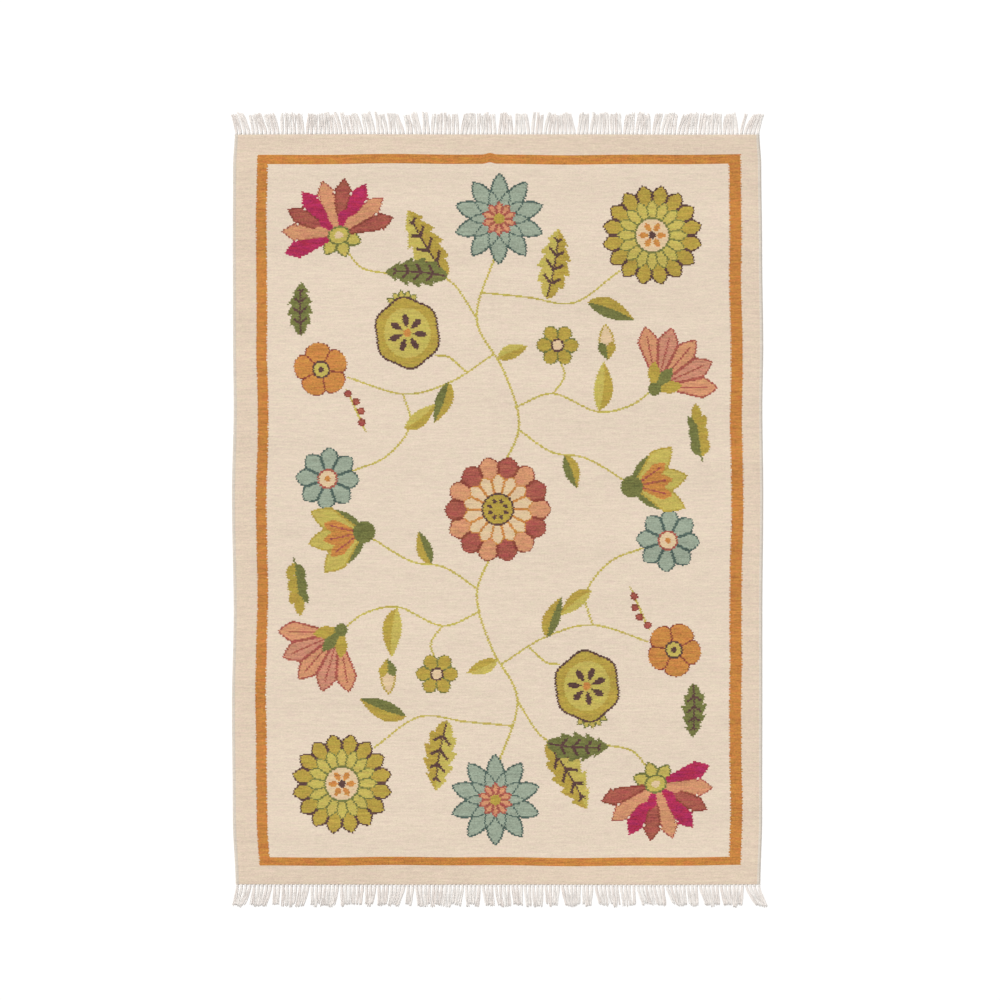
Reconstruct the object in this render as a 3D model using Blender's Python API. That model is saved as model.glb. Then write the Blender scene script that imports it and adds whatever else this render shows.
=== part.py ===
"""A flat-woven rug, 1.2 by 1.7 m, with a knotted warp fringe along each end.

The rug lies face up and flat on z = 0. X runs across it, from one woven side to the other, and
Y runs along it, from the foot fringe to the head fringe. All sizes are in metres.
"""

import math
import random
from typing import NamedTuple

import bmesh
import bpy
import numpy as np

# Driving dimensions of the cloth
CLOTH_WIDTH = 1.200
CLOTH_LENGTH = 1.700
CLOTH_THICKNESS = 0.0042
GRID_PITCH_X = 0.060
GRID_PITCH_Y = 0.058

# The strands at the foot's right corner reach furthest out, so the cloth lies a little to the
# left of the middle of the whole
CLOTH_MIDDLE_X = -0.0035

# The end hem is beaten down to this height at the knots, over this distance
HEM_HEIGHT = 0.0030
HEM_DEPTH = 0.006

# Driving dimensions of the fringes: a strip of knots, and the strands drawn out of it
FRINGE_REACH = 0.052
FRINGE_GAP = 0.0003
KNOT_STRIP_DEPTH = 0.004
STRANDS_PER_END = 126
STRAND_ROOT_WIDTH = 0.0064
STRAND_TIP_WIDTH = 0.0052
STRAND_ROOT_HEIGHT = 0.0034
STRAND_TIP_HEIGHT = 0.0022
SHORTEST_SHARE = 0.86
RINGS_ALONG_STRAND = (0.45, 1.0)
BEND_POWER = 1.3
ROOT_JITTER = 0.0005

# How the strands lean: in clumps, outward towards the corners, and wandering a little
CLUMP_SIZES = (2, 3, 3, 4, 4, 5)
CLUMP_LEAN = 0.0058
TIP_PITCH = 0.0057
LOOSE_TIP_PITCH = 0.0080
CORNER_CLUMP = 4
CORNER_PITCH = 0.0066
SPLAY = 0.008
WANDER = 0.003
WANDER_TURNS = 16.0

# Creases left by folding: one along the rug, which fades towards the foot, and two across it
LONG_CREASE_X = -0.017
CROSS_CREASES_Y = (0.000, -0.436)
LONG_CREASE_HEIGHT = 0.0012
LONG_CREASE_FOOT_SHARE = 0.1
CROSS_CREASE_HEIGHT = 0.0008
CREASE_SPREAD = 0.010
CREASE_STATIONS = (-0.024, -0.010, 0.0, 0.010, 0.024)
CREASE_CLEARANCE = 0.034

# The creases and the swell fade in over this distance from the selvedges and the hems
FADE_IN = 0.02
SWELL_HEIGHT = 0.0004
END_BOW = 0.0010

# Colours in linear light, roughness and sheen of the two kinds of yarn
CLOTH_COLOUR = (0.79, 0.66, 0.51, 1.0)
FRINGE_COLOUR = (0.84, 0.79, 0.74, 1.0)
YARN_ROUGHNESS = 0.95
YARN_SHEEN = 0.2


class SideStray(NamedTuple):
    """How far the two woven sides stray outward from straight, at one place along the rug."""

    along: float
    left: float
    right: float


SIDE_STRAYS = (
    SideStray(along=-0.850, left=-0.0070, right=-0.0050),
    SideStray(along=-0.700, left=-0.0005, right=-0.0010),
    SideStray(along=-0.440, left=0.0015, right=-0.0005),
    SideStray(along=-0.240, left=-0.0025, right=-0.0005),
    SideStray(along=0.030, left=0.0015, right=0.0015),
    SideStray(along=0.235, left=-0.0025, right=-0.0005),
    SideStray(along=0.370, left=-0.0010, right=0.0015),
    SideStray(along=0.590, left=-0.0005, right=-0.0010),
    SideStray(along=0.780, left=-0.0010, right=-0.0030),
    SideStray(along=0.850, left=-0.0050, right=-0.0070),
)


class SelvedgeStep(NamedTuple):
    """The cloth's height at one distance in from its woven side: a round cord, then a groove."""

    inward: float
    height: float


SELVEDGE_STEPS = (
    SelvedgeStep(inward=0.000, height=0.0018),
    SelvedgeStep(inward=0.003, height=0.0048),
    SelvedgeStep(inward=0.007, height=0.0034),
    SelvedgeStep(inward=0.012, height=CLOTH_THICKNESS),
)


class Wave(NamedTuple):
    """One slow wave: its turn, in radians for each metre, along X and along Y, and its start."""

    turn_x: float
    turn_y: float
    start: float


SWELL_WAVES = (
    Wave(turn_x=9.0, turn_y=2.0, start=0.0),
    Wave(turn_x=-4.0, turn_y=7.0, start=1.0),
)
BOW_WAVES = (
    Wave(turn_x=5.2, turn_y=1.2, start=1.6),
    Wave(turn_x=11.0, turn_y=-2.3, start=1.6),
)


class FringeEnd(NamedTuple):
    """One fringe: which way it points along Y, and how far its corner strands reach in X."""

    name: str
    outward: int
    left_reach: float
    right_reach: float
    seed: int


FRINGE_ENDS = (
    FringeEnd(name="head_fringe", outward=1, left_reach=-0.6075, right_reach=0.5990, seed=21),
    FringeEnd(name="foot_fringe", outward=-1, left_reach=-0.6040, right_reach=0.6075, seed=34),
)


def clear_scene():
    """Removes every object of the scene."""
    for found in list(bpy.data.objects):
        bpy.data.objects.remove(found, do_unlink=True)


def yarn_material(name, colour):
    """A Principled material for matt yarn."""
    material = bpy.data.materials.new(name)
    material.use_nodes = True
    shader = material.node_tree.nodes["Principled BSDF"]
    shader.inputs["Base Color"].default_value = colour
    shader.inputs["Roughness"].default_value = YARN_ROUGHNESS
    shader.inputs["Sheen Weight"].default_value = YARN_SHEEN
    shader.inputs["Metallic"].default_value = 0.0
    return material


def add_object(name, shell, material):
    """Closes a bmesh shell's normals outward and makes it a named object that wears a material."""
    bmesh.ops.recalc_face_normals(shell, faces=shell.faces[:])
    mesh = bpy.data.meshes.new(name)
    shell.to_mesh(mesh)
    shell.free()
    mesh.materials.append(material)
    made = bpy.data.objects.new(name, mesh)
    bpy.context.scene.collection.objects.link(made)


def verts_of(geometry):
    """The vertices among what a bmesh operator returned."""
    return [found for found in geometry if isinstance(found, bmesh.types.BMVert)]


def mean_wave(waves, x, y):
    """The mean of some sine waves at a place, from -1 to 1."""
    return sum(np.sin(wave.turn_x * x + wave.turn_y * y + wave.start) for wave in waves) / len(waves)


def eased(places, known_places, known_values):
    """Reads a table between its rows with level slopes at each row, so no corner shows."""
    places = np.asarray(places, float)
    after = np.clip(np.searchsorted(known_places, places), 1, len(known_places) - 1)
    start = known_places[after - 1]
    share = np.clip((places - start) / (known_places[after] - start), 0.0, 1.0)
    share = share * share * (3.0 - 2.0 * share)
    return known_values[after - 1] * (1.0 - share) + known_values[after] * share


def side_edges(along):
    """X of the left and the right side of the cloth, at each place along the rug."""
    table = np.array(SIDE_STRAYS)
    left = eased(along, table[:, 0], table[:, 1])
    right = eased(along, table[:, 0], table[:, 2])
    half = CLOTH_WIDTH / 2
    return CLOTH_MIDDLE_X - half - left, CLOTH_MIDDLE_X + half + right


def end_distance(across, outward):
    """Distance from the rug's middle to one of its ends, at each place across: a shallow bow."""
    return CLOTH_LENGTH / 2 - END_BOW * (1.0 - mean_wave(BOW_WAVES, across, outward)) / 2


def ridge(distance, height):
    """A soft crease's height at a distance from its line."""
    return height * np.exp(-((distance / CREASE_SPREAD) ** 2))


def surface_height(across, along):
    """Height of the cloth's face over the floor, from places on the straight, unstrayed rug.

    It is the thickness, with the selvedge cords and the beaten ends let in at the edges, a soft
    ridge along each crease, and a slow swell over the whole.
    """
    from_side = CLOTH_WIDTH / 2 - np.abs(across)
    from_end = CLOTH_LENGTH / 2 - np.abs(along)
    steps = np.array(SELVEDGE_STEPS)
    edge = np.interp(from_side, steps[:, 0], steps[:, 1])
    hem = np.interp(from_end, (0.0, HEM_DEPTH), (HEM_HEIGHT - CLOTH_THICKNESS, 0.0))
    field = np.clip((from_side - SELVEDGE_STEPS[-1].inward) / FADE_IN, 0.0, 1.0)
    field = field * np.clip((from_end - HEM_DEPTH) / FADE_IN, 0.0, 1.0)
    fade = np.interp(along, (-CLOTH_LENGTH / 2, CLOTH_LENGTH / 2), (LONG_CREASE_FOOT_SHARE, 1.0))
    creases = fade * ridge(across - LONG_CREASE_X, LONG_CREASE_HEIGHT)
    for crease in CROSS_CREASES_Y:
        creases = creases + ridge(along - crease, CROSS_CREASE_HEIGHT)
    swell = SWELL_HEIGHT * mean_wave(SWELL_WAVES, across, along)
    return edge + hem + field * (creases + swell)


def stations(half, edge_steps, pitch, creases):
    """Places of the grid lines over one side of the rug, closer at its edges and its creases."""
    inner = half - edge_steps[-1]
    even = np.linspace(-inner, inner, round(2 * inner / pitch) + 1)
    for crease in creases:
        even = even[np.abs(even - crease) > CREASE_CLEARANCE]
    close = [crease + step for crease in creases for step in CREASE_STATIONS]
    edges = [side * (half - step) for side in (-1, 1) for step in edge_steps[:-1]]
    return np.array(sorted([*even, *close, *edges]))


def cloth_point(across, along):
    """X and Y on the real, strayed outline for a place on the straight rug."""
    left, right = side_edges(along)
    x = left + (across / CLOTH_WIDTH + 0.5) * (right - left)
    half = CLOTH_LENGTH / 2
    return x, along * end_distance(across, np.sign(along)) / half


def build_cloth(material):
    """The woven cloth with its selvedges and hems, as one slab with an uneven face."""
    side_steps = [step.inward for step in SELVEDGE_STEPS]
    columns = stations(CLOTH_WIDTH / 2, side_steps, GRID_PITCH_X, (LONG_CREASE_X,))
    rows = stations(CLOTH_LENGTH / 2, (0.0, HEM_DEPTH), GRID_PITCH_Y, CROSS_CREASES_Y)
    across, along = np.meshgrid(columns, rows)
    x, y = cloth_point(across, along)
    points = np.stack([x, y, surface_height(across, along)], axis=-1)
    shell = bmesh.new()
    grid = [[shell.verts.new(point) for point in row] for row in points.tolist()]
    for low, high in zip(grid, grid[1:]):
        for column in range(len(columns) - 1):
            shell.faces.new((low[column], low[column + 1], high[column + 1], high[column]))
    back = bmesh.ops.extrude_face_region(shell, geom=shell.faces[:])["geom"]
    for vert in verts_of(back):
        vert.co.z = 0.0
    add_object("woven_cloth", shell, material)


def strand_roots(plan, chance):
    """X of the middle of each strand's root, evenly spaced along the cloth's end but for a jitter."""
    left, right = side_edges([plan.outward * CLOTH_LENGTH / 2])
    margin = STRAND_ROOT_WIDTH / 2
    roots = np.linspace(left[0] + margin, right[0] - margin, STRANDS_PER_END).tolist()
    inner = [root + chance.uniform(-ROOT_JITTER, ROOT_JITTER) for root in roots[1:-1]]
    return [roots[0], *inner, roots[-1]]


def strand_tips(roots, plan, chance):
    """X of the middle of each strand's tip.

    Strands lean together in clumps of two to five and never cross. The fringe splays outward
    towards its corners, and a slow wave wanders along it.
    """
    tips = []
    while len(tips) < len(roots):
        size = min(chance.choice(CLUMP_SIZES), len(roots) - len(tips))
        middle = sum(roots[len(tips) : len(tips) + size]) / size
        slow = SPLAY * middle / (CLOTH_WIDTH / 2)
        slow += WANDER * math.sin(WANDER_TURNS * middle + plan.seed)
        middle += slow + chance.uniform(-CLUMP_LEAN, CLUMP_LEAN)
        pitch = chance.uniform(TIP_PITCH, LOOSE_TIP_PITCH)
        tips += [middle + pitch * (place - (size - 1) / 2) for place in range(size)]
    margin = STRAND_TIP_WIDTH / 2
    for place in range(CORNER_CLUMP):
        tips[place] = plan.left_reach + margin + place * CORNER_PITCH
    for place in range(CORNER_CLUMP, len(tips)):
        tips[place] = max(tips[place], tips[place - 1] + TIP_PITCH)
    for place in range(CORNER_CLUMP):
        tips[-1 - place] = plan.right_reach - margin - place * CORNER_PITCH
    for place in range(len(tips) - 1 - CORNER_CLUMP, -1, -1):
        tips[place] = min(tips[place], tips[place + 1] - TIP_PITCH)
    return tips


def strand_reaches(count, chance):
    """How far each strand reaches from the cloth's end: the longest as far as the fringe."""
    trims = [chance.random() for _ in range(count)]
    shares = [trim / max(trims) for trim in trims]
    return [FRINGE_REACH * (SHORTEST_SHARE + (1.0 - SHORTEST_SHARE) * share) for share in shares]


def knot_strip(shell, roots, plan, front):
    """The strip that stands for the row of knots, and its front faces over the strands' roots."""
    margin = STRAND_ROOT_WIDTH / 2
    borders = [root + side * margin for root in roots for side in (-1, 1)]
    edge = end_distance(np.array(borders) - CLOTH_MIDDLE_X, plan.outward)
    back = plan.outward * (edge + FRINGE_GAP)
    low = [shell.verts.new((x, y, 0.0)) for x, y in zip(borders, back)]
    high = [shell.verts.new((x, y, STRAND_ROOT_HEIGHT)) for x, y in zip(borders, back)]
    cells = [
        shell.faces.new((low[place], low[place + 1], high[place + 1], high[place]))
        for place in range(len(borders) - 1)
    ]
    grown = bmesh.ops.extrude_face_region(shell, geom=cells)["geom"]
    for vert in verts_of(grown):
        vert.co.y = plan.outward * front
    faces = [found for found in grown if isinstance(found, bmesh.types.BMFace)]
    faces.sort(key=lambda face: face.calc_center_median().x)
    return faces[::2]


def draw_strand(shell, face, root, tip, plan, front, reach):
    """Draws one four-sided strand out of its root face, tapering and level on the floor."""
    for share in RINGS_ALONG_STRAND:
        face = bmesh.ops.extrude_discrete_faces(shell, faces=[face])["faces"][0]
        centre = face.calc_center_median()
        middle = root + (tip - root) * share**BEND_POWER
        width = STRAND_ROOT_WIDTH + (STRAND_TIP_WIDTH - STRAND_ROOT_WIDTH) * share
        height = STRAND_ROOT_HEIGHT + (STRAND_TIP_HEIGHT - STRAND_ROOT_HEIGHT) * share
        y = plan.outward * (front + share * (CLOTH_LENGTH / 2 + reach - front))
        for vert in face.verts:
            side = math.copysign(width / 2, vert.co.x - centre.x)
            vert.co = (middle + side, y, height if vert.co.z > centre.z else 0.0)


def build_fringe(plan, material):
    """One fringe: a narrow strip of knots just off the cloth, and strands drawn out of it."""
    chance = random.Random(plan.seed)
    roots = strand_roots(plan, chance)
    tips = strand_tips(roots, plan, chance)
    reaches = strand_reaches(len(roots), chance)
    front = CLOTH_LENGTH / 2 + FRINGE_GAP + KNOT_STRIP_DEPTH
    shell = bmesh.new()
    faces = knot_strip(shell, roots, plan, front)
    for face, root, tip, reach in zip(faces, roots, tips, reaches):
        draw_strand(shell, face, root, tip, plan, front, reach)
    add_object(plan.name, shell, material)


def main():
    """Builds the cloth and its two fringes."""
    clear_scene()
    build_cloth(yarn_material("ecru_weft_yarn", CLOTH_COLOUR))
    fringe_yarn = yarn_material("off_white_warp_yarn", FRINGE_COLOUR)
    for plan in FRINGE_ENDS:
        build_fringe(plan, fringe_yarn)


main()
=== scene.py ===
"""The looks of the flat-woven rug: its charted cloth, its knotted fringes and a plain studio.

All sizes are in metres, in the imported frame: X runs across the rug, Y along it towards the head
fringe, and Z up from the floor. The cloth is woven from a chart of small cells, as a weaver's
pattern is, so each join between two dyes steps along whole cells as it does in a flat weave.
"""

import logging
import math
import random
from collections.abc import Iterable, Sequence
from dataclasses import dataclass, field
from enum import Enum

import bpy
import numpy as np
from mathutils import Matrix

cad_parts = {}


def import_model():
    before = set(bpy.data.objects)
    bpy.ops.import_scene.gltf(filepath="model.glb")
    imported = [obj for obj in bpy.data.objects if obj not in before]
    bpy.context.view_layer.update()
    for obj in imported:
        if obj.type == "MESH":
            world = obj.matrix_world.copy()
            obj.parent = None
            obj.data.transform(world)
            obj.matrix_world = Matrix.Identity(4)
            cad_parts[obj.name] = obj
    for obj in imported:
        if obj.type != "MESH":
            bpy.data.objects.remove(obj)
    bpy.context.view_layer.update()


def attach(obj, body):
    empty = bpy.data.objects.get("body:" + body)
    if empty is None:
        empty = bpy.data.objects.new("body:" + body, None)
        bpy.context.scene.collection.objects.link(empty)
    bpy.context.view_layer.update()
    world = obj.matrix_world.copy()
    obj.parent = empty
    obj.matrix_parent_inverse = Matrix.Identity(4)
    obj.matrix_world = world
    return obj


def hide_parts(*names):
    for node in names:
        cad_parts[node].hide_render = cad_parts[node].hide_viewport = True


LOG = logging.getLogger("rug")

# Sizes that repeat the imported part's own
CLOTH_WIDTH = 1.200
CLOTH_LENGTH = 1.700
CLOTH_THICKNESS = 0.0042
CLOTH_MIDDLE_X = -0.0035
HALF_WIDTH = CLOTH_WIDTH / 2
HALF_LENGTH = CLOTH_LENGTH / 2
HEM_HEIGHT = 0.0030
HEM_DEPTH = 0.006
LONG_CREASE_X = -0.017
CROSS_CREASES_Y = (0.000, -0.436)
CREASE_SPREAD = 0.010
END_BOW = 0.0010

# How far each side strays outward: place along the rug, left side, right side
SIDE_STRAYS = np.array(
    [
        (-0.850, -0.0070, -0.0050),
        (-0.700, -0.0005, -0.0010),
        (-0.440, 0.0015, -0.0005),
        (-0.240, -0.0025, -0.0005),
        (0.030, 0.0015, 0.0015),
        (0.235, -0.0025, -0.0005),
        (0.370, -0.0010, 0.0015),
        (0.590, -0.0005, -0.0010),
        (0.780, -0.0010, -0.0030),
        (0.850, -0.0050, -0.0070),
    ]
)

# The face's height at each distance in from a side: a round cord, its groove, then the cloth
SELVEDGE_STEPS = np.array(
    [
        (0.0000, 0.0018),
        (0.0012, 0.0036),
        (0.0030, 0.0048),
        (0.0050, 0.0044),
        (0.0070, 0.0034),
        (0.0095, 0.0038),
        (0.0120, CLOTH_THICKNESS),
    ]
)

# Slow waves: turn in radians a metre along X, along Y, and start
SWELL_WAVES = ((9.0, 2.0, 0.0), (-4.0, 7.0, 1.0))
BOW_WAVES = ((5.2, 1.2, 1.6), (11.0, -2.3, 1.6))

# Strays of the weave's lines: height of the wave, then its turns and start as above
SIDEWAYS_STRAYS = ((0.0011, 0.0, 7.0, 1.0), (0.0007, 3.0, 19.0, 0.0))
LENGTHWAYS_STRAYS = ((0.0009, 9.0, 4.0, 0.0), (0.0006, 23.0, 0.0, 1.0))

# A knot's rings from the cloth outward: place along it, and its radius as a share of the full one
KNOT_RINGS = np.array(
    [
        (-0.0024, 0.35),
        (-0.0017, 0.85),
        (-0.0006, 1.00),
        (0.0003, 0.88),
        (0.0012, 1.00),
        (0.0022, 0.80),
        (0.0028, 0.35),
    ]
)


class Dye(Enum):
    """The yarn colours of the cloth as sRGB hex values, and one colour of painted shade for the frame's
    edges.
    """

    GROUND = "E6D4BF"
    MARGIN = "E2CEB8"
    CORD = "DBD0C2"
    FRAME = "C5823F"
    # Painted shade for the small pits where the frame's yarns meet along the warp, not a yarn of its own
    FRAME_JOIN_SHADE = "A8672F"
    LIME = "C2B159"
    OLIVE = "B39A43"
    MOSS = "737540"
    TEAL = "9AA693"
    DEEP_TEAL = "4F6159"
    MAGENTA = "B02D55"
    CORAL = "D1936C"
    ROSE = "C98A70"
    TERRACOTTA = "A5574A"
    RUST = "8A4436"
    ORANGE = "C68543"
    CREAM = "DFC39C"
    PLUM = "5B403B"


# The studio light is this much brighter than what would show the hex values as they are
DYE_SHARE = 0.94
DYES = tuple(Dye)
NUMBER = {dye: number for number, dye in enumerate(DYES)}
Coat = tuple[tuple[Dye, float], ...]


def linear_colour(code: str) -> tuple[float, float, float, float]:
    """Turns an sRGB hex value to a linear colour with full alpha.

    Args:
        code: six hex digits.

    Returns:
        Red, green, blue and alpha in linear light.
    """
    parts = [int(code[place : place + 2], 16) / 255 for place in (0, 2, 4)]
    red, green, blue = (
        part / 12.92 if part <= 0.04045 else ((part + 0.055) / 1.055) ** 2.4 for part in parts
    )
    return red, green, blue, 1.0


def add_node(
    tree: bpy.types.NodeTree,
    kind: str,
    settings: dict[str, object] | None = None,
    values: dict[str | int, object] | None = None,
    links: dict[str | int, bpy.types.NodeSocket] | None = None,
) -> bpy.types.Node:
    """Adds a node with its settings, its sockets' values and its links.

    Args:
        tree: the node tree that takes it.
        kind: the node's type name, without the words ShaderNode.
        settings: the node's own properties.
        values: values for its input sockets.
        links: output sockets of other nodes for its input sockets.

    Returns:
        The new node.
    """
    made = tree.nodes.new("ShaderNode" + kind)
    for name, value in (settings or {}).items():
        setattr(made, name, value)
    for socket, value in (values or {}).items():
        made.inputs[socket].default_value = value
    for socket, source in (links or {}).items():
        tree.links.new(source, made.inputs[socket])
    return made


def new_material(
    name: str, roughness: float, specular: float, sheen: float = 0.0
) -> tuple[bpy.types.Material, bpy.types.NodeTree, bpy.types.Node]:
    """Makes a matt material with a Principled shader.

    Args:
        name: the material's name.
        roughness: the shader's roughness.
        specular: its specular level.
        sheen: its sheen, which loose fibres give.

    Returns:
        The material, its node tree and its Principled node.
    """
    material = bpy.data.materials.new(name)
    material.use_nodes = True
    shader = material.node_tree.nodes["Principled BSDF"]
    shader.inputs["Roughness"].default_value = roughness
    shader.inputs["Specular IOR Level"].default_value = specular
    shader.inputs["Sheen Weight"].default_value = sheen
    return material, material.node_tree, shader


def mean_wave(
    waves: Sequence[tuple[float, float, float]], x: np.ndarray, y: np.ndarray
) -> np.ndarray:
    """The mean of some sine waves at each place, from -1 to 1."""
    return sum(np.sin(turn_x * x + turn_y * y + start) for turn_x, turn_y, start in waves) / len(waves)


def stray(
    waves: Sequence[tuple[float, float, float, float]], x: np.ndarray, y: np.ndarray
) -> np.ndarray:
    """The sum of some sine waves of their own heights at each place, in metres."""
    return sum(high * np.sin(turn_x * x + turn_y * y + start) for high, turn_x, turn_y, start in waves)


def eased(places: np.ndarray, known_places: np.ndarray, known_values: np.ndarray) -> np.ndarray:
    """Reads a table between its rows with level slopes at each row.

    Args:
        places: where to read it.
        known_places: the rows' places, rising.
        known_values: the rows' values.

    Returns:
        The values there, by the smooth step 3s^2 - 2s^3 between neighbouring rows.
    """
    places = np.asarray(places, float)
    after = np.clip(np.searchsorted(known_places, places), 1, len(known_places) - 1)
    start = known_places[after - 1]
    share = np.clip((places - start) / (known_places[after] - start), 0.0, 1.0)
    share = share * share * (3.0 - 2.0 * share)
    return known_values[after - 1] * (1.0 - share) + known_values[after] * share


def side_edges(along: np.ndarray) -> tuple[np.ndarray, np.ndarray]:
    """X of the cloth's left and right side at each place along the rug."""
    left = eased(along, SIDE_STRAYS[:, 0], SIDE_STRAYS[:, 1])
    right = eased(along, SIDE_STRAYS[:, 0], SIDE_STRAYS[:, 2])
    return CLOTH_MIDDLE_X - HALF_WIDTH - left, CLOTH_MIDDLE_X + HALF_WIDTH + right


def end_distance(across: np.ndarray, outward: np.ndarray) -> np.ndarray:
    """Distance from the rug's middle to one of its ends at each place across: a shallow bow."""
    return HALF_LENGTH - END_BOW * (1.0 - mean_wave(BOW_WAVES, across, outward)) / 2


def put_mesh(
    name: str,
    points: np.ndarray,
    corners: np.ndarray,
    counts: np.ndarray,
    material: bpy.types.Material,
) -> bpy.types.Object:
    """Makes a smooth mesh object from flat arrays and links it to the scene.

    Args:
        name: the object's and the mesh's name.
        points: vertex places, one row each.
        corners: vertex numbers of all faces, one face after another.
        counts: how many corners each face has.
        material: what it wears.

    Returns:
        The new object, at the origin.
    """
    mesh = bpy.data.meshes.new(name)
    mesh.vertices.add(len(points))
    mesh.vertices.foreach_set("co", points.astype(np.float32).ravel())
    mesh.loops.add(len(corners))
    mesh.loops.foreach_set("vertex_index", corners.astype(np.int32))
    mesh.polygons.add(len(counts))
    starts = np.concatenate([[0], np.cumsum(counts)[:-1]])
    mesh.polygons.foreach_set("loop_start", starts.astype(np.int32))
    mesh.polygons.foreach_set("use_smooth", np.ones(len(counts), bool))
    mesh.update(calc_edges=True)
    mesh.materials.append(material)
    made = bpy.data.objects.new(name, mesh)
    bpy.context.scene.collection.objects.link(made)
    return made


def set_attribute(
    made: bpy.types.Object, name: str, kind: str, domain: str, key: str, values: np.ndarray
) -> None:
    """Puts a named attribute on a mesh.

    Args:
        made: the mesh's object.
        name: the attribute's name, which the material reads.
        kind: its data type.
        domain: what it is stored on.
        key: the name of one element's value.
        values: one row for each element.
    """
    attribute = made.data.attributes.new(name=name, type=kind, domain=domain)
    attribute.data.foreach_set(key, values.astype(np.float32).ravel())


@dataclass
class Patch:
    """A window of the chart round one motif, with its cells' places in the motif's own axes."""

    cells: np.ndarray
    u: np.ndarray
    v: np.ndarray

    def fill(self, inside: np.ndarray, dye: Dye) -> None:
        """Gives one dye to the cells that are inside."""
        self.cells[inside] = NUMBER[dye]

    def coat(self, depth: np.ndarray, coat: Coat) -> None:
        """Lays dyes over each other, each where a shape is deeper than that dye's inset."""
        for dye, inset in coat:
            self.fill(depth > inset, dye)


@dataclass(frozen=True)
class Disc:
    """A round or lobed spot: its depth is its radius at each angle less the distance."""

    radius: float
    coat: Coat
    at: tuple[float, float] = (0.0, 0.0)
    lobes: int = 0
    lobe_depth: float = 0.0
    squash: float = 1.0

    def paint(self, patch: Patch) -> None:
        """Lays the spot's dyes on the chart."""
        u = patch.u - self.at[0]
        v = (patch.v - self.at[1]) * self.squash
        edge = self.radius * (1.0 + self.lobe_depth * np.cos(self.lobes * np.arctan2(u, v)))
        patch.coat(edge - np.hypot(u, v), self.coat)


@dataclass(frozen=True)
class Petals:
    """Alike petals, or one leaf, round a motif's middle.

    Each cell's angle is folded into its own petal. There q runs along the petal and p across it.
    The half width at share s = q / reach is half_width * sin(pi * s ** fullness) ** blunt, cut by
    saw teeth where it has them, and the depth is that less the distance from the bent midline.
    """

    count: int
    reach: float
    half_width: float
    coats: tuple[Coat, ...]
    spread: float = 360.0
    turn: float = 0.0
    start: float = 0.0
    fullness: float = 1.0
    blunt: float = 0.7
    bend: float = 0.0
    teeth: int = 0
    tooth_depth: float = 0.0
    shade: Dye | None = None
    vein: Dye | None = None
    vein_width: float = 0.0034
    side_veins: int = 0
    at: tuple[float, float] = (0.0, 0.0)

    def paint(self, patch: Patch) -> None:
        """Lays the petals' dyes, second tones and veins on the chart."""
        u = patch.u - self.at[0]
        v = patch.v - self.at[1]
        radius = np.hypot(u, v)
        spread = math.radians(self.spread)
        pitch = spread / self.count
        angle = np.arctan2(u, v) - math.radians(self.turn)
        angle = (angle + math.pi) % math.tau - math.pi
        number = np.clip(np.floor((angle + spread / 2) / pitch), 0, self.count - 1)
        folded = angle + spread / 2 - (number + 0.5) * pitch
        q = radius * np.cos(folded) - self.start
        share = np.clip(q / self.reach, 0.0, 1.0)
        p = radius * np.sin(folded) - self.bend * self.reach * share**2
        half = self.half_width * np.sin(np.pi * share**self.fullness) ** self.blunt
        half = half * (1.0 - self.tooth_depth * ((share * self.teeth) % 1.0))
        depth = np.where((q > 0.0) & (q < self.reach), half - np.abs(p), -1.0)
        if self.count > 1:
            depth = np.minimum(depth, radius * (pitch / 2 - np.abs(folded)) + 0.0012)
        for place, coat in enumerate(self.coats):
            patch.coat(np.where(number % len(self.coats) == place, depth, -1.0), coat)
        rim = self.coats[0][-1][1]
        if self.shade is not None:
            patch.fill((depth > rim) & (p > 0.0), self.shade)
        if self.vein is not None:
            midrib = (np.abs(p) < self.vein_width / 2) & (share > 0.02) & (share < 0.84)
            patch.fill(midrib & (depth > rim), self.vein)
        if self.side_veins:
            ribs = (share * self.side_veins - np.abs(p) / self.half_width) % 1.0 < 0.26
            within = (depth > self.half_width * 0.24) & (share > 0.1) & (share < 0.88)
            patch.fill(ribs & within, self.vein)


Motif = tuple[Disc | Petals, ...]


@dataclass(frozen=True)
class Vine:
    """A stem of one width along a smooth curve through its points."""

    points: tuple[tuple[float, float], ...]
    width: float = 0.0045
    dye: Dye = Dye.LIME

    def curve(self) -> np.ndarray:
        """Places along the stem.

        Returns:
            Points of the cubic through each pair of neighbours whose slope at a point is half
            the step between the points on either side of it.
        """
        knots = np.array(self.points)
        knots = np.vstack([2 * knots[0] - knots[1], knots, 2 * knots[-1] - knots[-2]])
        share = np.linspace(0.0, 1.0, 40)[:, None, None]
        a, b, c, d = knots[:-3], knots[1:-2], knots[2:-1], knots[3:]
        path = 0.5 * (
            2 * b
            + (c - a) * share
            + (2 * a - 5 * b + 4 * c - d) * share**2
            + (3 * b - a - 3 * c + d) * share**3
        )
        return path.transpose(1, 0, 2).reshape(-1, 2)


@dataclass(frozen=True)
class Spot:
    """A motif set on the rug: where its middle is, and which way it points, in degrees."""

    motif: Motif
    x: float
    y: float
    turn: float = 0.0


# The usual width of a motif's rim, and half the side of the window that any motif fits in
RIM = 0.0044
MOTIF_REACH = 0.19


def edged(dye: Dye, rim: Dye = Dye.PLUM, width: float = RIM) -> Coat:
    """A dye with a rim of another round it."""
    return (rim, 0.0), (dye, width)


def plain(dye: Dye) -> Coat:
    """One dye with no rim."""
    return ((dye, 0.0),)


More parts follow.
